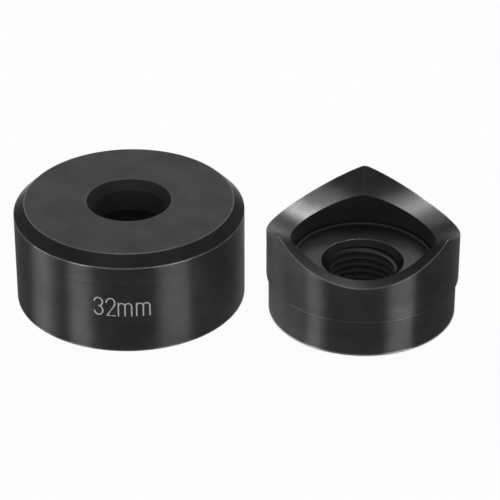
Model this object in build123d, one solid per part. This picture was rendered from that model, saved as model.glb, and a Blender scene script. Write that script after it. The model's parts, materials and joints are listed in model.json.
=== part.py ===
from build123d import *

import os
from math import cos, hypot, radians, sin

# A knockout punch and its die, standing side by side, in millimetres with +Z up.
# A draw stud, which is no part of the pair, passes through the die and screws into the
# punch. Pulled tight, it draws the punch's raised points through sheet metal and into
# the die's open mouth. The punch stands points up, and the die stands mouth down.

# Cut hole, which sets the punch, and the room that the die leaves round it
hole_diameter = 32.0
cutting_clearance = 0.15

# Draw stud: thread in the punch, clear hole in the die
thread_diameter = 12.0
thread_pitch = 1.25
stud_clearance = 0.15

# Punch: heights above its flat base
web_height = 8.8
valley_height = 13.1
point_rise = 5.1
land_bottom = 6.7

# Punch: crown, which is one sloping hollow facet between each two points
points = 3
facet_fall = 11.3
crown_wall = 4.0
ridge_radius = 2.4
recess_corner = 0.45

# Punch: body under the cutting land, and its edges
body_relief = 0.4
punch_edge = 0.25
thread_lead_width = 1.5
thread_lead_depth = 2.2
thread_exit = 0.8

# Die: a cup with a closed, chamfered end
die_wall = 3.05
die_height = 17.6
die_floor = 5.6
die_chamfer = 1.75
die_edge = 0.25
die_corner = 0.8
stud_sink_width = 0.95
stud_sink_depth = 1.6
stud_exit = 0.4

# How the two pieces stand beside each other
pair_gap = 3.9
pair_bearing = -7.2
punch_turn = -3.0

# Radii that follow from the sizes above
punch_radius = hole_diameter / 2
recess_radius = punch_radius - crown_wall
body_radius = punch_radius - body_relief
thread_radius = (thread_diameter - thread_pitch) / 2
die_bore_radius = punch_radius + cutting_clearance
die_radius = die_bore_radius + die_wall
stud_hole_radius = thread_diameter / 2 + stud_clearance

# Places of the two axes: the origin is under the middle of the pair's box
pair_spacing = die_radius + pair_gap + punch_radius
step_x = pair_spacing * cos(radians(pair_bearing))
step_y = pair_spacing * sin(radians(pair_bearing))
low_x = min(-die_radius, step_x - punch_radius)
high_x = max(die_radius, step_x + punch_radius)
low_y = min(-die_radius, step_y - punch_radius)
high_y = max(die_radius, step_y + punch_radius)
die_place = Location((-(low_x + high_x) / 2, -(low_y + high_y) / 2, 0))
punch_place = die_place * Location((step_x, step_y, 0), (0, 0, punch_turn))


def turned(outline):
    """The solid that a closed outline of (radius, height) points sweeps round the Z axis."""
    with BuildPart() as blank:
        with BuildSketch(Plane.XZ):
            with BuildLine():
                Polyline(*outline, close=True)
            make_face()
        revolve(axis=Axis.Z)
    return blank.part


def make_die():
    """Cup, mouth down, bored to clear the punch, with a sunk stud hole in its closed end."""
    floor_height = die_height - die_floor
    cup = turned([
        (die_bore_radius, 0),
        (die_radius - die_edge, 0),
        (die_radius, die_edge),
        (die_radius, die_height - die_chamfer),
        (die_radius - die_chamfer, die_height),
        (stud_hole_radius + stud_sink_width, die_height),
        (stud_hole_radius, die_height - stud_sink_depth),
        (stud_hole_radius, floor_height + stud_exit),
        (stud_hole_radius + stud_exit, floor_height),
        (die_bore_radius, floor_height),
    ])
    corner = cup.edges().filter_by(GeomType.CIRCLE).filter_by(
        lambda edge: abs(edge.radius - die_bore_radius) < 0.01 and edge.center().Z > die_edge
    )
    return fillet(corner, die_corner)


def facet_cutter(crown_top):
    """What is milled away between two points: a tilted cylinder, kept to one share of a turn."""
    half_share = radians(180 / points)
    fall = radians(facet_fall)
    point_across = punch_radius * sin(half_share)
    point_inset = punch_radius * (1 - cos(half_share))
    rise = point_rise * cos(fall) + point_inset * sin(fall)
    facet_radius = (point_across**2 + rise**2) / (2 * rise)
    reach = 2 * punch_radius
    start = (reach * cos(half_share), -reach * sin(half_share))
    end = (reach * cos(half_share), reach * sin(half_share))
    with BuildPart() as cutter:
        with BuildSketch(Plane.XY.offset(web_height)):
            with BuildLine():
                Line((0, 0), start)
                ThreePointArc(start, (reach, 0), end)
                Line(end, (0, 0))
            make_face()
        extrude(amount=2 * crown_top)
        lowest_line = Location((punch_radius, 0, valley_height), (0, 90 - facet_fall, 0))
        with Locations(lowest_line * Location((-facet_radius, 0, 0))):
            Cylinder(facet_radius, 4 * reach, mode=Mode.INTERSECT)
    return cutter.part


def crown_chips(crown_top):
    """All that comes off above the crown, with its ridges rounded where two facets meet."""
    with BuildPart() as ring:
        with BuildSketch(Plane.XY.offset(web_height)):
            RegularPolygon(1.1 * punch_radius, 2 * points, major_radius=False, rotation=90 / points)
            RegularPolygon(0.95 * recess_radius, 2 * points, rotation=90 / points, mode=Mode.SUBTRACT)
        extrude(amount=2 * crown_top - web_height)
    crown = ring.part
    cutter = facet_cutter(crown_top)
    for number in range(points):
        crown -= Rot(0, 0, 360 * number / points) * cutter

    def is_ridge(edge):
        first, last = edge @ 0, edge @ 1
        aside = abs(first.X * last.Y - first.Y * last.X) / punch_radius
        runs_out = abs(hypot(first.X, first.Y) - hypot(last.X, last.Y)) > crown_wall
        return runs_out and aside < 0.01

    return ring.part - fillet(crown.edges().filter_by(is_ridge), ridge_radius)


def make_punch():
    """Turned blank with a threaded web, then one hollow facet milled for each valley."""
    crown_top = valley_height + point_rise
    blank = turned([
        (thread_radius + thread_exit, 0),
        (body_radius - punch_edge, 0),
        (body_radius, punch_edge),
        (body_radius, land_bottom - body_relief),
        (punch_radius, land_bottom),
        (punch_radius, crown_top + point_rise),
        (recess_radius, crown_top + point_rise),
        (recess_radius, web_height),
        (thread_radius + thread_lead_width, web_height),
        (thread_radius, web_height - thread_lead_depth),
        (thread_radius, thread_exit),
    ])
    corner = blank.edges().filter_by(GeomType.CIRCLE).filter_by(
        lambda edge: abs(edge.radius - recess_radius) < 0.01 and edge.center().Z < valley_height
    )
    return fillet(corner, recess_corner) - Rot(0, 0, 270) * crown_chips(crown_top)


os.makedirs("parts", exist_ok=True)
die = die_place * make_die()
punch = punch_place * make_punch()
export_step(die, "parts/die.step")
export_step(punch, "parts/punch.step")
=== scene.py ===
"""Gives a knockout punch and its die their finished look: blackened steel, turned and milled.

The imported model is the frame. Each half of the tool is a closed ring of rows round its own
upright axis, so that its edges, its crown and its thread are as fine as the picture needs.
"""

import json
import math

import bpy
import numpy as np
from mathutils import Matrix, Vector


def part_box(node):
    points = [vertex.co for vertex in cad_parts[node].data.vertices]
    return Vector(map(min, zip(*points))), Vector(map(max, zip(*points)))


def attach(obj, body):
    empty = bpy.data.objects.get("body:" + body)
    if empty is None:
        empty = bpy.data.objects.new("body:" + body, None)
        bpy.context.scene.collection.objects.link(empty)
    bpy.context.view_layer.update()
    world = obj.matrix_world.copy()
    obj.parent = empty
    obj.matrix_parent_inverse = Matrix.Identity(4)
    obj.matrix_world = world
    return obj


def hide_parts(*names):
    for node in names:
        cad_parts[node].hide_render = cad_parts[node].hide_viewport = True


bl_info = {
    "name": "Knockout Punch and Die",
    "version": (1, 0, 0),
    "blender": (4, 5, 0),
    "location": "3D View > Sidebar > Knockout",
    "description": "Builds a blackened knockout punch, its die and a plain studio round them",
    "category": "Add Mesh",
}

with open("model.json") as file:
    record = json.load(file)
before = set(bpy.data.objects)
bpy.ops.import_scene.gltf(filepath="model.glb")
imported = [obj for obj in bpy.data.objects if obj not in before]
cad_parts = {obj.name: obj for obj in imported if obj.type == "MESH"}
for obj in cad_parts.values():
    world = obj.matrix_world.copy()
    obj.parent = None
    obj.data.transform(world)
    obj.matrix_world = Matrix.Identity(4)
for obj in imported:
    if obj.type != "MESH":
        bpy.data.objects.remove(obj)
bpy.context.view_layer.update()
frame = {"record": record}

MM = 0.001
MICRON = 1e-6
TURN = 2 * math.pi

# Columns of each ring, and the steps that round one of its corners
DIE_COLUMNS = 360
PUNCH_COLUMNS = 480
ARC_STEPS = 4

# Wear fades out over this length beside a rounding, or over this share of a short stretch
FADE = 0.12 * MM
FADE_SHARE = 0.3

# How far the large faces outweigh the narrow roundings beside them, so that flats look flat
FACE_WEIGHT = 90

# Sockets of a mix node, which share their names: its share, numbers and colours
SHARE, NUMBER_A, NUMBER_B, COLOUR_A, COLOUR_B = 0, 2, 3, 6, 7
COLOUR_OUT = 2


def mount_radius(name):
    """Radius in metres of one of the frame's bores."""
    found = [m for m in frame["record"]["mounts"] if m["name"] == name]
    return found[0]["dims"]["r_mm"] * MM


def outer_radius(node):
    """Radius of a round CAD node, to a hundredth of a millimetre."""
    low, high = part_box(node)
    return round((high.x - low.x) / 2, 5)


def axis_foot(node):
    """Where a round CAD node's axis meets the floor."""
    low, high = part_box(node)
    return Vector(((low.x + high.x) / 2, (low.y + high.y) / 2, 0))


def linear(code):
    """An sRGB colour written as hex digits, as linear red, green, blue and alpha."""
    channels = [int(code[place:place + 2], 16) / 255 for place in (1, 3, 5)]
    # The two branches of the sRGB curve
    return (*(
        ((value + 0.055) / 1.055) ** 2.4 if value > 0.04045 else value / 12.92
        for value in channels
    ), 1.0)


def length_property(name, description, default):
    """A length in metres that the sidebar shows in the scene's own unit."""
    return bpy.props.FloatProperty(
        name=name, description=description, default=default, min=0, unit="LENGTH", precision=5
    )


def colour_property(name, description, code):
    """A colour, given as sRGB hex digits."""
    return bpy.props.FloatVectorProperty(
        name=name, description=description, default=linear(code), subtype="COLOR",
        size=4, min=0, max=1,
    )


class KnockoutDieSizes(bpy.types.PropertyGroup):
    """Sizes of the die, a cup that stands mouth down."""

    radius: length_property("Radius", "Outer radius of the die", outer_radius("die"))
    height: length_property("Height", "Height of the die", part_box("die")[1].z)
    mouth: length_property("Mouth radius", "Radius of the open mouth", mount_radius("die_mouth"))
    floor: length_property("Floor", "Thickness of the closed end", 5.6 * MM)
    hole: length_property("Stud hole radius", "Radius of the stud hole", mount_radius("stud_hole"))
    sink_width: length_property("Sink width", "Width of the cone at the stud hole", 0.95 * MM)
    sink_depth: length_property("Sink depth", "Depth of the cone at the stud hole", 1.6 * MM)
    chamfer: length_property("Chamfer", "Chamfer round the closed end", 1.75 * MM)
    corner: length_property("Inner corner", "Radius of the corner inside", 0.8 * MM)
    edge: length_property("Edge", "Break of the outer edges", 0.09 * MM)


class KnockoutPunchSizes(bpy.types.PropertyGroup):
    """Sizes of the punch, which stands with its points up."""

    radius: length_property("Radius", "Radius of the cutting land", outer_radius("punch"))
    recess: length_property("Recess radius", "Radius of the hollow inside the crown", 12 * MM)
    web: length_property("Web height", "Height of the hollow's floor", 8.8 * MM)
    valley: length_property("Valley height", "Height of the crown at its lowest", 13.1 * MM)
    rise: length_property("Point rise", "Height of the sharp points above the valleys", 5.1 * MM)
    ridge: length_property("Ridge radius", "Rounding where two facets meet", 2.4 * MM)
    foot: length_property("Foot radius", "Radius of the corner round the hollow's floor", 0.45 * MM)
    land: length_property("Land height", "Height of the cutting land's lower edge", 6.7 * MM)
    relief: length_property("Relief", "How far the body stands back from the land", 0.4 * MM)
    edge: length_property("Edge", "Break of the outer edges", 0.08 * MM)
    base_edge: length_property("Base edge", "Rounding of the base's edge", 0.3 * MM)
    thread: length_property(
        "Thread radius", "Inner radius of the thread", mount_radius("punch_thread")
    )
    pitch: length_property("Pitch", "Pitch of the thread", 1.25 * MM)
    depth: length_property("Thread depth", "Depth of the thread's groove", 0.62 * MM)
    lead_width: length_property("Lead width", "Width of the cone above the thread", 1.5 * MM)
    lead_depth: length_property("Lead depth", "Depth of the cone above the thread", 1.5 * MM)
    exit: length_property("Exit", "Chamfer below the thread", 0.8 * MM)
    fall: bpy.props.FloatProperty(
        name="Facet fall", description="Inward fall of the facets",
        default=math.radians(11.3), subtype="ANGLE",
    )
    valley_turn: bpy.props.FloatProperty(
        name="Valley turn", description="Direction of one valley about the axis",
        default=math.radians(267), subtype="ANGLE",
    )
    thread_turn: bpy.props.FloatProperty(
        name="Thread turn", description="Turn of the thread about its axis",
        default=math.radians(198), subtype="ANGLE",
    )
    points: bpy.props.IntProperty(name="Points", description="Number of points", default=3, min=2)


class KnockoutMarkSizes(bpy.types.PropertyGroup):
    """Sizes of the cut size that is marked on the die's side."""

    height: length_property("Figure height", "Height of a figure's centre line", 3.25 * MM)
    stroke: length_property("Stroke", "Width of a stroke", 0.24 * MM)
    proud: length_property("Proud", "How far the burnt line stands out", 0.012 * MM)
    foot: length_property("Foot", "Height of the line that the figures stand on", 6.95 * MM)
    aside: bpy.props.FloatProperty(
        name="Aside", description="Turn of the mark's middle from the front",
        default=math.radians(-1.7), subtype="ANGLE",
    )


class KnockoutFinish(bpy.types.PropertyGroup):
    """Colours and gloss of the steel."""

    oxide: colour_property("Oxide", "Black oxide over turned steel", "#3A3A3A")
    oxide_deep: colour_property("Deep oxide", "Black oxide where it is thickest", "#2D2D2D")
    # Painted shade: the darkest film, for the punch's hollow, its corner and the sunk cones round
    # both holes
    oxide_painted_shade: colour_property("Painted shade oxide", "Black oxide darkened as painted shade in hollows and sunk cones", "#1C1C1C")
    bare: colour_property("Bare steel", "Steel where the oxide has worn off an edge", "#AAAAAA")
    mark: colour_property("Mark", "Laser mark on black oxide", "#848484")
    roughness: bpy.props.FloatProperty(
        name="Roughness", description="Roughness of the turned sides",
        default=0.44, min=0, max=1, subtype="FACTOR",
    )
    milled_roughness: bpy.props.FloatProperty(
        name="Milled roughness", description="Roughness of the crown's facets",
        default=0.29, min=0, max=1, subtype="FACTOR",
    )


class KnockoutStudio(bpy.types.PropertyGroup):
    """Floor, light and camera."""

    floor: colour_property("Floor", "Plain floor", "#EDEDED")
    whiteness: bpy.props.FloatProperty(
        name="Whiteness", description="Share of plain white in the floor that is seen",
        default=0.96, min=0, max=1, subtype="FACTOR",
    )
    room: bpy.props.FloatProperty(
        name="Room light", description="Strength of the light from all round on matt surfaces",
        default=0.55, min=0,
    )
    ceiling: bpy.props.FloatProperty(
        name="Ceiling", description="Brightness of the ceiling as a share of the white walls",
        default=0.55, min=0, max=1, subtype="FACTOR",
    )
    wall_low: bpy.props.FloatProperty(
        name="Wall fades from", description="Elevation up to which the walls are white",
        default=math.radians(6), subtype="ANGLE",
    )
    wall_high: bpy.props.FloatProperty(
        name="Wall fades to", description="Elevation from which the ceiling is even",
        default=math.radians(20), subtype="ANGLE",
    )
    distance: length_property("Camera distance", "Camera to the point it looks at", 426.2 * MM)
    pitch: bpy.props.FloatProperty(
        name="Camera pitch", description="How far the camera looks down",
        default=math.radians(31), subtype="ANGLE",
    )
    lens: bpy.props.FloatProperty(
        name="Lens", description="Focal length on a 36 mm wide sensor", default=182.7,
        unit="CAMERA",
    )


def unit(rows):
    """Directions of length one."""
    return rows / np.linalg.norm(rows, axis=-1, keepdims=True)


def rounded(before, corner, after, radius):
    """The arc that rounds a corner of an outline, as rows of (radius, height) points."""
    if radius == 0:
        return corner[None]
    inward = unit(before - corner)
    onward = unit(after - corner)
    half = 0.5 * np.arccos(np.clip((inward * onward).sum(-1, keepdims=True), -1, 1))
    centre = corner + unit(inward + onward) * radius / np.sin(half)
    first = corner + inward * radius / np.tan(half) - centre
    last = corner + onward * radius / np.tan(half) - centre
    span = math.pi - 2 * half
    share = np.linspace(0, 1, ARC_STEPS + 1)[:, None, None]
    swung = np.sin((1 - share) * span) * first + np.sin(share * span) * last
    return centre + swung / np.sin(span)


def as_pair(value, after):
    """A pair for a rounding and the stretch after it, where a lone value is the rounding's."""
    return value if isinstance(value, tuple) else (value, after)


def outline_rows(corners):
    """Rows, wear and finish of a closed outline.

    A corner is (radius, height, rounding, wear, finish, cuts after it). Its radius and height
    may be arrays with one value for each column of the ring. Wear is that of the rounding and
    finish that of the rounding and of the stretch after it, or either is a pair of them.
    """
    count = len(corners)
    places = [np.stack(np.broadcast_arrays(c[0], c[1]), axis=-1).reshape(-1, 2) for c in corners]
    columns = max(len(place) for place in places)
    places = [np.broadcast_to(place, (columns, 2)).astype(float) for place in places]
    arcs = [
        rounded(places[number - 1], places[number], places[(number + 1) % count], corner[2])
        for number, corner in enumerate(corners)
    ]
    rows, wear, finish = [], [], []
    for number, (_, _, _, worn, kind, cuts) in enumerate(corners):
        arc = arcs[number]
        start = arc[-1]
        way = arcs[(number + 1) % count][0] - start
        near = np.minimum(FADE / np.linalg.norm(way, axis=-1, keepdims=True), FADE_SHARE)
        steps = [near + (1 - 2 * near) * cut / cuts for cut in range(cuts + 1)]
        rows.extend(arc)
        rows.extend(start + way * step for step in steps)
        for values, pair in ((wear, as_pair(worn, 0.0)), (finish, as_pair(kind, kind))):
            values.extend([pair[0]] * len(arc) + [pair[1]] * len(steps))
    return np.array(rows), np.array(wear), np.array(finish)


def new_mesh(name, points, faces, smooth):
    """A mesh of points and faces, with its faces shaded smooth or flat."""
    mesh = bpy.data.meshes.new(name)
    mesh.from_pydata(points, [], faces)
    mesh.polygons.foreach_set("use_smooth", np.full(len(mesh.polygons), smooth))
    return mesh


def add_object(name, data, place=(0, 0, 0)):
    """A new object that stands in the scene at a place."""
    thing = bpy.data.objects.new(name, data)
    bpy.context.scene.collection.objects.link(thing)
    thing.location = place
    return thing


def ring_mesh(name, rows, finish, columns):
    """A closed mesh whose rows of (radius, height) points run round an upright axis."""
    rows = np.broadcast_to(rows, (len(rows), columns, 2))
    turn = np.arange(columns) * TURN / columns
    points = np.stack(
        [rows[..., 0] * np.cos(turn), rows[..., 0] * np.sin(turn), rows[..., 1]], axis=-1
    )
    here = np.arange(len(rows) * columns).reshape(len(rows), columns)
    above = np.roll(here, -1, axis=0)
    quads = np.stack([here, above, np.roll(above, -1, axis=1), np.roll(here, -1, axis=1)], axis=-1)
    mesh = new_mesh(name, points.reshape(-1, 3).tolist(), quads.reshape(-1, 4).tolist(), True)
    mesh.polygons.foreach_set("material_index", np.repeat(finish, columns).astype(np.int32))
    return mesh


def paint(mesh, name, values):
    """Keeps one number for each point of a mesh, for its material to read."""
    layer = mesh.attributes.new(name, "FLOAT", "POINT")
    layer.data.foreach_set("value", np.ascontiguousarray(values, dtype=np.float32).ravel())


def place_piece(name, mesh, materials, foot):
    """A new object on an axis, with its materials and with normals that keep flats flat."""
    piece = add_object(name, mesh, foot)
    for material in materials:
        mesh.materials.append(material)
    modifier = piece.modifiers.new("Even normals", "WEIGHTED_NORMAL")
    modifier.mode = "FACE_AREA"
    modifier.weight = FACE_WEIGHT
    bpy.context.view_layer.update()
    return piece


def add_node(tree, kind, inputs=None, **settings):
    """Adds a node, sets it, and feeds its inputs with values or with other nodes' outputs."""
    node = tree.nodes.new(kind)
    for name, value in settings.items():
        setattr(node, name, value)
    for name, value in (inputs or {}).items():
        if isinstance(value, bpy.types.NodeSocket):
            tree.links.new(value, node.inputs[name])
        else:
            node.inputs[name].default_value = value
    return node


def new_material(name):
    """A material with an empty node tree, and the tree."""
    material = bpy.data.materials.new(name)
    material.use_nodes = True
    tree = material.node_tree
    tree.nodes.clear()
    return material, tree


def seen_directly(tree):
    """One for what the camera sees, also in or through metal and glass, and zero for the rest."""
    path = add_node(tree, "ShaderNodeLightPath").outputs
    mirrored = add_node(
        tree, "ShaderNodeMath", {0: path["Is Camera Ray"], 1: path["Is Glossy Ray"]},
        operation="MAXIMUM",
    ).outputs[0]
    return add_node(
        tree, "ShaderNodeMath", {0: mirrored, 1: path["Is Transmission Ray"]}, operation="MAXIMUM",
    ).outputs[0]


def oxide_steel(name, lines, spacing, depth, roughness, stretch=0.0, painted_shade=0.0, rim=1.0,
                matt=0.0):
    """Black oxide on cut steel: a film of a micron, so the metal's gloss and tool lines stay.

    lines is "turned", for rings round the axis, or "milled", for lines across each facet.
    A tool leaves them about 0.1 mm apart. They are drawn at 0.3 to 0.5 mm, which is coarser
    than real, because the picture has only six pixels to a millimetre. stretch spreads the
    highlights up and down. The share of painted shade darkens the film, as painted shade where
    shade falls in the hollow, its corner and the sunk cones. rim is what is left of its mirror
    gloss at a flat angle, where a film of oxide salts and oil stays dull. matt is the share
    of a rough film that scatters light as a mineral does, so a hollow isn't pitch black.
    """
    finish = bpy.context.scene.knockout_finish
    material, tree = new_material(name)
    place = add_node(tree, "ShaderNodeTexCoord").outputs["Object"]
    if lines == "turned":
        parts = add_node(tree, "ShaderNodeSeparateXYZ", {0: place})
        flat = add_node(tree, "ShaderNodeCombineXYZ", {0: parts.outputs[0], 1: parts.outputs[1]})
        radius = add_node(tree, "ShaderNodeVectorMath", {0: flat.outputs[0]}, operation="LENGTH")
        across = add_node(
            tree, "ShaderNodeCombineXYZ", {0: radius.outputs["Value"], 2: parts.outputs[2]}
        ).outputs[0]
    else:
        along = add_node(tree, "ShaderNodeAttribute", attribute_name="along").outputs["Fac"]
        across = add_node(tree, "ShaderNodeCombineXYZ", {0: along}).outputs[0]
    grooves = add_node(
        tree, "ShaderNodeTexNoise",
        {"Vector": across, "Scale": 1 / spacing, "Detail": 3, "Roughness": 0.65},
    ).outputs["Fac"]
    # The bath leaves the film uneven in patches, and it wears off in small specks
    patch_size, speck_size = 6 * MM, 0.5 * MM
    clouds = add_node(
        tree, "ShaderNodeTexNoise", {"Vector": place, "Scale": 1 / patch_size, "Detail": 4},
    ).outputs["Fac"]
    specks = add_node(
        tree, "ShaderNodeTexNoise", {"Vector": place, "Scale": 1 / speck_size, "Detail": 2},
    ).outputs["Fac"]
    patches = add_node(
        tree, "ShaderNodeMapRange", {"Value": clouds, "From Min": 0.35, "From Max": 0.65},
    ).outputs[0]
    streaks = add_node(
        tree, "ShaderNodeMapRange", {"Value": grooves, "From Min": 0.3, "From Max": 0.7},
    ).outputs[0]
    # The film's thickness follows its patches, and about a third of it the tool lines
    thick = add_node(
        tree, "ShaderNodeMix", {SHARE: 0.35, NUMBER_A: patches, NUMBER_B: streaks},
    ).outputs[0]
    film = add_node(
        tree, "ShaderNodeMix",
        {SHARE: thick, COLOUR_A: finish.oxide, COLOUR_B: finish.oxide_deep}, data_type="RGBA",
    ).outputs[COLOUR_OUT]
    # Painted shade: this share darkens the film towards the darkest oxide in hollows, corners and
    # sunk cones
    film = add_node(
        tree, "ShaderNodeMix",
        {SHARE: painted_shade, COLOUR_A: film, COLOUR_B: finish.oxide_painted_shade}, data_type="RGBA",
    ).outputs[COLOUR_OUT]
    worn = add_node(tree, "ShaderNodeAttribute", attribute_name="wear").outputs["Fac"]
    patchy = add_node(
        tree, "ShaderNodeMapRange",
        {"Value": specks, "From Min": 0.3, "From Max": 0.7, "To Min": 0.6, "To Max": 1.0},
    ).outputs[0]
    worn = add_node(tree, "ShaderNodeMath", {0: worn, 1: patchy}, operation="MULTIPLY").outputs[0]
    colour = add_node(
        tree, "ShaderNodeMix",
        {SHARE: worn, COLOUR_A: film, COLOUR_B: finish.bare}, data_type="RGBA",
    ).outputs[COLOUR_OUT]
    gloss = add_node(
        tree, "ShaderNodeMapRange",
        {"Value": grooves, "To Min": roughness - 0.05, "To Max": roughness + 0.05},
    ).outputs[0]
    normal = add_node(
        tree, "ShaderNodeBump", {"Height": grooves, "Distance": depth, "Strength": 1.0},
    ).outputs[0]
    shader = add_node(
        tree, "ShaderNodeBsdfPrincipled",
        {"Base Color": colour, "Metallic": 1 - matt, "Roughness": gloss, "Normal": normal,
         "Anisotropic": stretch, "Specular Tint": (rim, rim, rim, 1)},
    )
    if stretch:
        tangent = add_node(tree, "ShaderNodeTangent", direction_type="RADIAL", axis="Z")
        tree.links.new(tangent.outputs[0], shader.inputs["Tangent"])
        shader.inputs["Anisotropic Rotation"].default_value = 0.25
    add_node(tree, "ShaderNodeOutputMaterial", {"Surface": shader.outputs[0]})
    return material


def laser_mark():
    """Laser mark: the beam burns the black film off to a pale, matt line with a fine grain.

    Its dots are about 0.05 mm apart, which is too fine to show, so the grain is drawn at 0.3 mm.
    """
    finish = bpy.context.scene.knockout_finish
    material, tree = new_material("laser marked steel")
    place = add_node(tree, "ShaderNodeTexCoord").outputs["Object"]
    grain_size = 0.3 * MM
    grain = add_node(
        tree, "ShaderNodeTexNoise", {"Vector": place, "Scale": 1 / grain_size, "Detail": 2},
    ).outputs["Fac"]
    roughness = add_node(
        tree, "ShaderNodeMapRange", {"Value": grain, "To Min": 0.45, "To Max": 0.7},
    ).outputs[0]
    shader = add_node(
        tree, "ShaderNodeBsdfPrincipled",
        {"Base Color": finish.mark, "Metallic": 0.3, "Roughness": roughness},
    )
    add_node(tree, "ShaderNodeOutputMaterial", {"Surface": shader.outputs[0]})
    return material


def facet_height(size, along, across):
    """Height of one facet, the underside of a tilted cylinder, at a point in its own directions."""
    half_share = math.pi / size.points
    point_across = size.radius * math.sin(half_share)
    point_inset = size.radius * (1 - math.cos(half_share))
    rise = size.rise * math.cos(size.fall) + point_inset * math.sin(size.fall)
    bend = (point_across**2 + rise**2) / (2 * rise)
    hollow = (bend - np.sqrt(bend**2 - across**2)) / math.cos(size.fall)
    return size.valley + (along - size.radius) * math.tan(size.fall) + hollow


def turn_off_valley(size, turn):
    """Turns about the axis, measured from the nearest valley."""
    share = TURN / size.points
    return (turn - size.valley_turn + share / 2) % share - share / 2


def crown_height(size, radius, turn):
    """Height of the crown, with its ridges rounded, at a radius and turns about the axis."""
    share = TURN / size.points
    off_valley = turn_off_valley(size, turn)
    beyond = share - np.abs(off_valley)
    own = facet_height(size, radius * np.cos(off_valley), radius * np.sin(off_valley))
    other = facet_height(size, radius * np.cos(beyond), radius * np.sin(beyond))
    blend = ridge_blend(size, radius)
    # The next facet counts only near the ridge that it shares with this one
    last_counted = 0.75 * share
    other = np.where(beyond < last_counted, other, own + blend)
    overlap = np.maximum(blend - np.abs(own - other), 0) / blend
    return np.minimum(own, other) - overlap**2 * blend / 4


def ridge_blend(size, radius):
    """Difference of two facets' heights inside which a rounding of the ridge's radius runs."""
    half_share = math.pi / size.points
    tiny = 0.01 * MM
    along, across = radius * math.cos(half_share), radius * math.sin(half_share)
    level = facet_height(size, along, across)
    slope_along = (facet_height(size, along + tiny, across) - level) / tiny
    slope_across = (facet_height(size, along, across + tiny) - level) / tiny
    outward = slope_along * math.cos(half_share) + slope_across * math.sin(half_share)
    aside = slope_across * math.cos(half_share) - slope_along * math.sin(half_share)
    steep = np.sqrt(1 + outward**2)
    lean = np.arctan(aside / steep)
    return 4 * size.ridge * (1 / np.cos(lean) - 1) * steep


def thread_radius(size, height, turn):
    """Radius of a right-hand inner thread with sixty degree flanks."""
    phase = (height / size.pitch - (turn - size.thread_turn) / TURN) % 1
    off_root = np.abs(phase - 0.5)
    # Half the flat root and the run of a flank, as shares of the pitch
    half_root, flank_run = 1 / 16, 5 / 16
    flank = np.clip((off_root - half_root) / flank_run, 0, 1)
    return size.thread + size.depth * (1 - flank)


class KNOCKOUT_OT_die(bpy.types.Operator):
    """Build the die: a turned cup, mouth down, with a sunk stud hole in its chamfered end"""

    bl_idname = "knockout.die"
    bl_label = "Die"

    def execute(self, context):
        size = context.scene.knockout_die
        side, face, bore, slope, sink = 0, 1, 2, 3, 4
        ceiling = size.height - size.floor
        slight, foot_edge, ceiling_edge = 0.05 * MM, 0.25 * MM, 0.3 * MM
        # The bath hardly reaches the cup's inside, so the film is thin there
        cup_wear, hole_wear = 0.35, 0.07
        # Radius, height, rounding, wear, finish and cuts, from the sunk hole's rim out and round
        corners = [
            (size.hole + size.sink_width, size.height, size.edge, 0.13, face, 2),
            (size.radius - size.chamfer, size.height, size.edge, 0.35, slope, 2),
            (size.radius, size.height - size.chamfer, size.edge, 0.5, side, 8),
            (size.radius, 0, foot_edge, 0.3, face, 2),
            (size.mouth, 0, size.edge, (0.5, cup_wear), bore, 6),
            (size.mouth, ceiling, size.corner, (cup_wear, cup_wear), bore, 6),
            (size.hole, ceiling, ceiling_edge, (0.1, hole_wear), bore, 4),
            (size.hole, size.height - size.sink_depth, slight, 0.05, sink, 2),
        ]
        rows, wear, finish = outline_rows(corners)
        mesh = ring_mesh("die", rows, finish, DIE_COLUMNS)
        paint(mesh, "wear", np.repeat(wear, DIE_COLUMNS))
        look = context.scene.knockout_finish
        materials = [
            # Rings of the lathe stretch each highlight into a soft upright band
            oxide_steel("blackened steel turned side of die", "turned", 0.35 * MM, 1.2 * MICRON,
                        look.roughness, stretch=1.0, rim=0.6),
            # A fine facing cut gives an even, satin grey with faint rings
            oxide_steel("blackened steel faced end of die", "turned", 0.3 * MM, 1.0 * MICRON,
                        0.3, stretch=0.35, rim=0.8),
            # A rough boring cut stays matt and dark
            oxide_steel("blackened steel bored inside of die", "turned", 0.3 * MM, 1.5 * MICRON,
                        0.7, matt=0.3),
            # A form tool leaves the chamfer smooth, so it mirrors the dim room as a dark ring
            oxide_steel("blackened steel turned chamfer of die", "turned", 0.3 * MM, 0.8 * MICRON,
                        0.27, rim=0.5),
            # A countersink chatters, so the cone at the hole is duller than the chamfer, and its
            # film is darkened as painted shade
            oxide_steel("blackened steel countersunk hole of die", "turned", 0.3 * MM,
                        0.8 * MICRON, 0.5, painted_shade=0.5, rim=0.5, matt=0.5),
        ]
        piece = place_piece("die_body", mesh, materials, axis_foot("die"))
        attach(piece, "root")
        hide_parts("die")
        return {"FINISHED"}


def bow(centre, reach, first, last):
    """Points on an upright ellipse, from one angle in degrees to another."""
    count = 25
    turn = np.radians(np.linspace(first, last, count))
    return np.stack([np.cos(turn), np.sin(turn)], axis=1) * reach + centre


def sign_strokes(sign):
    """Centre lines of one sign, in heights of a figure, from the sign's left foot."""
    width = 0.43
    if sign == "3":
        upper = bow((width / 2, 0.755), (width / 2, 0.235), 170, -90)
        lower = bow((width / 2, 0.265), (width / 2, 0.255), 90, -170)
        return [np.concatenate([upper, lower[1:]])]
    if sign == "2":
        head = bow((width / 2, 0.73), (width / 2, 0.27), 175, -35)
        heel = (0.03, 0)
        return [np.concatenate([head, [heel]]), np.array([heel, (width, 0)])]
    if sign == "m":
        width, height, arch = 0.66, 0.726, 0.165
        strokes = [np.array([(0, height), (0, 0)])]
        for left in (0, width / 2):
            top = bow((left + width / 4, height - arch), (width / 4, arch), 180, 0)
            strokes.append(np.concatenate([top, [(left + width / 2, 0)]]))
        return strokes
    raise ValueError(f"no strokes for the sign {sign}")


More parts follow.
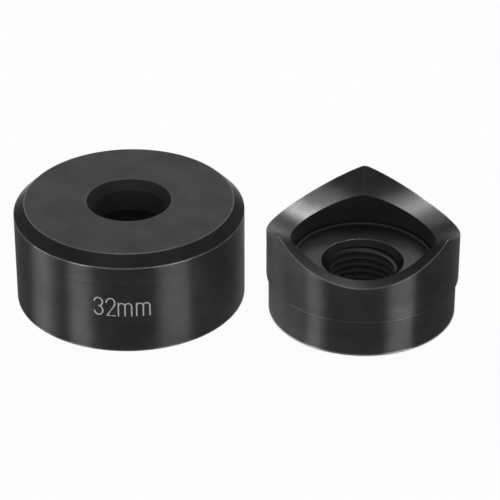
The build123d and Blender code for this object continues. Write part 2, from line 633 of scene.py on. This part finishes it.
def flat_bead(line, width, thickness):
    """Points and faces of a closed flat bead along a line of (across, up), with round ends."""
    sides = 8
    # Turns of the three steps that close each end, the outermost first
    close = np.radians([80, 55, 28])
    onward = unit(np.gradient(line, axis=0))
    aside = np.stack([-onward[:, 1], onward[:, 0]], axis=1)
    before = line[0] - onward[0] * np.sin(close)[:, None] * width / 2
    after = line[-1] + onward[-1] * np.sin(close[::-1])[:, None] * width / 2
    centres = np.concatenate([before, line, after])
    asides = np.concatenate([[aside[0]] * len(close), aside, [aside[-1]] * len(close)])
    share = np.concatenate([np.cos(close), np.ones(len(line)), np.cos(close[::-1])])[:, None]
    turn = np.arange(sides) * TURN / sides
    flat = centres[:, None] + asides[:, None] * (share * np.cos(turn) * width / 2)[..., None]
    out = share * np.sin(turn) * thickness
    points = np.concatenate([flat, out[..., None]], axis=2)
    here = np.arange(len(centres) * sides).reshape(len(centres), sides)
    there = np.roll(here, -1, axis=1)
    quads = np.stack([here[:-1], there[:-1], there[1:], here[1:]], axis=-1).reshape(-1, 4)
    return points.reshape(-1, 3), [*quads.tolist(), here[0, ::-1].tolist(), here[-1].tolist()]


class KNOCKOUT_OT_mark(bpy.types.Operator):
    """Mark the cut size on the die's side, in plain strokes that follow the round"""

    bl_idname = "knockout.mark"
    bl_label = "Size Mark"

    def execute(self, context):
        size = context.scene.knockout_mark
        radius = context.scene.knockout_die.radius
        # Each sign's left edge, and the middle of them all, in heights of a figure
        signs = (("3", 0.0), ("2", 0.618), ("m", 1.218), ("m", 2.129))
        middle = 1.395
        points, faces = [], []
        for sign, left in signs:
            for stroke in sign_strokes(sign):
                line = (stroke + (left - middle, 0)) * size.height
                bead, sides = flat_bead(line, size.stroke, size.proud)
                faces.extend([[corner + len(points) for corner in side] for side in sides])
                points.extend(bead.tolist())
        across, up, out = np.array(points).T
        turn = across / radius + size.aside
        wrapped = np.stack(
            [(radius + out) * np.sin(turn), -(radius + out) * np.cos(turn), size.foot + up], axis=1
        )
        mesh = new_mesh("die_size_mark", wrapped.tolist(), faces, True)
        piece = place_piece("die_size_mark", mesh, [laser_mark()], axis_foot("die"))
        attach(piece, "root")
        return {"FINISHED"}


class KNOCKOUT_OT_punch(bpy.types.Operator):
    """Build the punch: a turned body and a crown of points, with a threaded web in its hollow"""

    bl_idname = "knockout.punch"
    bl_label = "Punch"

    def execute(self, context):
        size = context.scene.knockout_punch
        side, crown, hollow, thread, wall, foot, lead = 0, 1, 2, 3, 4, 5, 6
        turn = np.arange(PUNCH_COLUMNS) * TURN / PUNCH_COLUMNS
        inner_top = crown_height(size, size.recess, turn)
        outer_top = crown_height(size, size.radius, turn)
        # Two guide rows keep the crown's long stretch apart from the roundings of its edges
        inner_guide = size.recess + 0.4 * MM
        outer_guide = size.radius - 0.6 * MM
        body = size.radius - size.relief
        slight = 0.04 * MM
        # Radius, height, rounding, wear, finish and cuts, from the sunk thread's rim out and round
        corners = [
            (size.thread + size.lead_width, size.web, size.edge, 0.02, hollow, 6),
            (size.recess, size.web, size.foot, 0.04, (foot, wall), 6),
            (size.recess, inner_top, size.edge, 0.05, crown, 1),
            (inner_guide, crown_height(size, inner_guide, turn), 0, 0.0, crown, 14),
            (outer_guide, crown_height(size, outer_guide, turn), 0, 0.0, crown, 2),
            (size.radius, outer_top, size.edge, 0.15, side, 8),
            (size.radius, size.land, slight, 0.1, side, 1),
            (body, size.land - size.relief, slight, 0.0, side, 6),
            (body, 0, size.base_edge, 0.35, side, 3),
            (size.thread + size.exit, 0, size.edge, 0.2, thread, 8),
            (size.thread, size.exit, slight, 0.0, thread, 62),
            (size.thread, size.web - size.lead_depth, slight, 0.0, lead, 16),
        ]
        rows, wear, finish = outline_rows(corners)
        # The crown's rows follow its facets, apart from the rounding of its inner edge
        for row in np.nonzero(finish == crown)[0][ARC_STEPS + 1:]:
            rows[row, :, 1] = crown_height(size, rows[row, :, 0], turn)
        for row in np.nonzero(np.isin(finish, (thread, lead)))[0]:
            groove = thread_radius(size, rows[row, :, 1], turn)
            rows[row, :, 0] = np.maximum(rows[row, :, 0], groove)
        mesh = ring_mesh("punch", rows, finish, PUNCH_COLUMNS)
        paint(mesh, "wear", np.repeat(wear, PUNCH_COLUMNS))
        paint(mesh, "along", rows[..., 0] * np.cos(turn_off_valley(size, turn)))
        look = context.scene.knockout_finish
        materials = [
            # Rings of the lathe stretch each highlight into a soft upright band
            oxide_steel("blackened steel turned side of punch", "turned", 0.35 * MM,
                        1.4 * MICRON, look.roughness, stretch=1.0, rim=0.6),
            # A fine cut across each facet leaves it the brightest face, with a silky highlight
            oxide_steel("blackened steel milled crown of punch", "milled", 0.5 * MM,
                        0.25 * MICRON, look.milled_roughness, rim=0.65),
            # The hollow's floor is turned smooth, and its film is a little darker as painted shade
            oxide_steel("blackened steel turned hollow of punch", "turned", 0.35 * MM,
                        1.2 * MICRON, 0.22, painted_shade=0.1, rim=0.7, matt=0.35),
            # The bath's salts stay in the thread, so it is matt and its crests catch little light
            oxide_steel("blackened steel tapped thread of punch", "turned", 0.5 * MM,
                        0.6 * MICRON, 0.55, matt=0.6),
            # The hollow's wall is bored rough, so it stays matt and dark
            oxide_steel("blackened steel bored wall of punch", "turned", 0.35 * MM, 1.2 * MICRON,
                        0.85, matt=0.45),
            # The tool's round tip leaves a smoother corner, which shows as a thin pale line; its
            # film is darkened as painted shade, which dims that line
            oxide_steel("blackened steel turned corner of punch", "turned", 0.35 * MM,
                        0.4 * MICRON, 0.42, painted_shade=0.3),
            # The cone above the thread is cut smooth, and its film is darkened as painted shade, so
            # it is a dark ring
            oxide_steel("blackened steel countersunk hole of punch", "turned", 0.35 * MM,
                        0.6 * MICRON, 0.35, painted_shade=0.8, rim=0.6, matt=0.2),
        ]
        piece = place_piece("punch_body", mesh, materials, axis_foot("punch"))
        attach(piece, "root")
        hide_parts("punch")
        return {"FINISHED"}


def towards(azimuth, elevation):
    """Direction of length one, from angles in radians. Azimuth 0 is the camera's side."""
    return Vector((
        math.sin(azimuth) * math.cos(elevation),
        -math.cos(azimuth) * math.cos(elevation),
        math.sin(elevation),
    ))


class KNOCKOUT_OT_studio(bpy.types.Operator):
    """Build the studio: a plain floor, soft lamps all round and the camera"""

    bl_idname = "knockout.studio"
    bl_label = "Studio"

    def execute(self, context):
        studio = context.scene.knockout_studio
        self.lay_floor(context, studio)
        self.light_room(context, studio)
        self.hang_lamps()
        self.set_camera(context, studio)
        context.scene.view_settings.view_transform = "Standard"
        return {"FINISHED"}

    def lay_floor(self, context, studio):
        """A wide plain floor. To the camera it is near white, and it keeps the shadow."""
        half_side = 4.0
        corners = ((-1, -1), (1, -1), (1, 1), (-1, 1))
        points = [(across * half_side, back * half_side, 0) for across, back in corners]
        mesh = new_mesh("floor", points, [(0, 1, 2, 3)], False)
        floor = add_object("floor", mesh)
        # Board with an even coat of white paint, which is matt and shows nothing but the shadow
        material, tree = new_material("painted board")
        # Its white is for the eye alone, and lights nothing as a lamp would
        material.cycles.emission_sampling = "NONE"
        matt = add_node(tree, "ShaderNodeBsdfDiffuse", {"Color": studio.floor}).outputs[0]
        white = add_node(
            tree, "ShaderNodeEmission", {"Color": (1, 1, 1, 1), "Strength": 1.0}
        ).outputs[0]
        share = seen_directly(tree)
        place = add_node(tree, "ShaderNodeTexCoord").outputs["Object"]
        # No light gets in under the pieces, so the white ends just inside the edge of each foot
        black_inset, white_inset = 0.6 * MM, 0.3 * MM
        for foot, radius in ((axis_foot("die"), context.scene.knockout_die.radius),
                             (axis_foot("punch"), context.scene.knockout_punch.radius)):
            off = add_node(
                tree, "ShaderNodeVectorMath", {0: place, 1: foot}, operation="DISTANCE"
            ).outputs["Value"]
            share = add_node(
                tree, "ShaderNodeMapRange",
                {"Value": off, "From Min": radius - black_inset, "From Max": radius - white_inset,
                 "To Min": 0.0, "To Max": share},
            ).outputs[0]
        share = add_node(
            tree, "ShaderNodeMath", {0: share, 1: studio.whiteness}, operation="MULTIPLY"
        ).outputs[0]
        mixed = add_node(tree, "ShaderNodeMixShader", {0: share, 1: matt, 2: white}).outputs[0]
        add_node(tree, "ShaderNodeOutputMaterial", {"Surface": mixed})
        mesh.materials.append(material)

    def light_room(self, context, studio):
        """White walls under a dimmer ceiling. The camera and the metal see the walls as white."""
        world = bpy.data.worlds.new("studio room")
        world.use_nodes = True
        # Sampled as a lamp, the room would lose what only mirrored rays see of it
        world.cycles.sampling_method = "NONE"
        tree = world.node_tree
        tree.nodes.clear()
        place = add_node(tree, "ShaderNodeTexCoord").outputs["Generated"]
        height = add_node(tree, "ShaderNodeSeparateXYZ", {0: place}).outputs[2]
        ceiling = add_node(
            tree, "ShaderNodeMapRange",
            {"Value": height, "From Min": math.sin(studio.wall_low),
             "From Max": math.sin(studio.wall_high), "To Min": 1.0, "To Max": studio.ceiling},
        ).outputs[0]
        strength = add_node(
            tree, "ShaderNodeMapRange",
            {"Value": seen_directly(tree), "To Min": studio.room, "To Max": ceiling},
        ).outputs[0]
        shade = add_node(tree, "ShaderNodeBackground", {"Strength": strength}).outputs[0]
        add_node(tree, "ShaderNodeOutputWorld", {"Surface": shade})
        context.scene.world = world

    def hang_lamps(self):
        """Soft boxes, each by what the pieces see of it.

        Each has a name, the node that it is hung round, its azimuth from the camera's side,
        elevation, width and height in degrees, and its brightness as a share of white. A box
        for one node lights that node's piece alone and past its neighbour, because each piece
        was lit by itself. An upright side mirrors the table, so a box under the floor stands
        for a bright stretch of table.
        """
        lamps = [
            ("die left strip", "die", -94, -30, 20, 30, 9.5),
            ("die left front strip", "die", -49, -30, 18, 30, 11),
            ("die right front strip", "die", 46, -30, 28, 30, 7.5),
            ("die right panel", "die", 115, -30, 74, 30, 1.4),
            ("die front panel", "die", 0, 38, 70, 30, 0.5),
            ("die back panel", "die", 180, 34, 60, 40, 0.75),
            ("punch left back panel", "punch", -151, -30, 24, 30, 2.6),
            ("punch left panel", "punch", -104, -30, 52, 30, 4.2),
            ("punch left front strip", "punch", -60, -30, 18, 30, 10.5),
            ("punch right front strip", "punch", 45, -30, 26, 30, 12),
            ("punch front panel", "punch", 0, 42, 50, 24, 0.6),
            ("punch back panel", "punch", 163, 14, 28, 28, 1.3),
            ("punch overhead box", "punch", 164, 57, 12, 22, 21),
            ("punch overhead panel", "punch", 175, 60, 60, 50, 1.6),
            ("overhead", None, 180, 80, 24, 24, 3),
        ]
        lit = {"die": ["die_body", "die_size_mark"], "punch": ["punch_body"]}
        grounds = {node: self.lay_ground(node) for node in lit}
        # Distance of every box, in metres
        away = 0.5
        for name, node, azimuth, elevation, wide, high, brightness in lamps:
            lamp = bpy.data.lights.new(name, "AREA")
            lamp.shape = "RECTANGLE"
            lamp.size = 2 * away * math.tan(math.radians(wide / 2))
            lamp.size_y = 2 * away * math.tan(math.radians(high / 2))
            lamp.energy = brightness * math.pi * lamp.size * lamp.size_y
            # Mirrored rays end at the floor, so a box below it is only sampled directly
            lamp.cycles.use_multiple_importance_sampling = elevation > 0
            outward = towards(math.radians(azimuth), math.radians(elevation))
            box = add_object(name, lamp, outward * away)
            box.rotation_euler = (-outward).to_track_quat("-Z", "Y").to_euler()
            box.visible_camera = False
            if node:
                box.location += axis_foot(node)
                receivers = bpy.data.collections.new(name)
                blockers = bpy.data.collections.new(name)
                for piece in lit[node]:
                    receivers.objects.link(bpy.data.objects[piece])
                    blockers.objects.link(bpy.data.objects[piece])
                blockers.objects.link(grounds[node])
                box.light_linking.receiver_collection = receivers
                box.light_linking.blocker_collection = blockers

    def lay_ground(self, node):
        """A disc just under the floor, which keeps the boxes below out of a piece's open foot."""
        inset, sunk, corners = 0.5 * MM, 0.05 * MM, 96
        radius = outer_radius(node) - inset
        turn = np.arange(corners) * TURN / corners
        points = [(radius * math.cos(angle), radius * math.sin(angle), 0) for angle in turn]
        mesh = new_mesh(f"{node} ground", points, [tuple(range(corners))], False)
        ground = add_object(mesh.name, mesh, axis_foot(node) - Vector((0, 0, sunk)))
        return ground

    def set_camera(self, context, studio):
        """The photograph's view of the pair. The aim is the point in the middle of the picture."""
        aim = Vector((2.31, 0.85, 7.85)) * MM
        back = towards(0, studio.pitch)
        lens = bpy.data.cameras.new("camera")
        lens.lens = studio.lens
        lens.sensor_width = 36
        lens.clip_start = 10 * MM
        lens.clip_end = 20
        camera = add_object("camera", lens, aim + back * studio.distance)
        camera.rotation_euler = (-back).to_track_quat("-Z", "Y").to_euler()
        context.scene.camera = camera


class KNOCKOUT_PT_sidebar(bpy.types.Panel):
    """Lists what the add-on builds"""

    bl_idname = "KNOCKOUT_PT_sidebar"
    bl_label = "Knockout Punch and Die"
    bl_space_type = "VIEW_3D"
    bl_region_type = "UI"
    bl_category = "Knockout"

    def draw(self, context):
        for group, operator in GROUPS:
            box = self.layout.box()
            settings = getattr(context.scene, group)
            for name in settings.__annotations__:
                box.prop(settings, name)
            if operator:
                box.operator(operator)


GROUPS = (
    ("knockout_die", "knockout.die"),
    ("knockout_punch", "knockout.punch"),
    ("knockout_mark", "knockout.mark"),
    ("knockout_finish", None),
    ("knockout_studio", "knockout.studio"),
)
PROPERTY_CLASSES = {
    "knockout_die": KnockoutDieSizes,
    "knockout_punch": KnockoutPunchSizes,
    "knockout_mark": KnockoutMarkSizes,
    "knockout_finish": KnockoutFinish,
    "knockout_studio": KnockoutStudio,
}
OTHER_CLASSES = (
    KNOCKOUT_OT_die, KNOCKOUT_OT_mark, KNOCKOUT_OT_punch, KNOCKOUT_OT_studio, KNOCKOUT_PT_sidebar,
)


def register():
    """Registers the classes and hangs their settings on the scene."""
    for name, group in PROPERTY_CLASSES.items():
        bpy.utils.register_class(group)
        setattr(bpy.types.Scene, name, bpy.props.PointerProperty(type=group))
    for other in OTHER_CLASSES:
        bpy.utils.register_class(other)


def unregister():
    """Takes away what register added."""
    for other in reversed(OTHER_CLASSES):
        bpy.utils.unregister_class(other)
    for name, group in reversed(PROPERTY_CLASSES.items()):
        delattr(bpy.types.Scene, name)
        bpy.utils.unregister_class(group)


def main():
    """Builds everything."""
    register()
    bpy.ops.knockout.die()
    bpy.ops.knockout.mark()
    bpy.ops.knockout.punch()
    bpy.ops.knockout.studio()


if __name__ == "__main__":
    main()
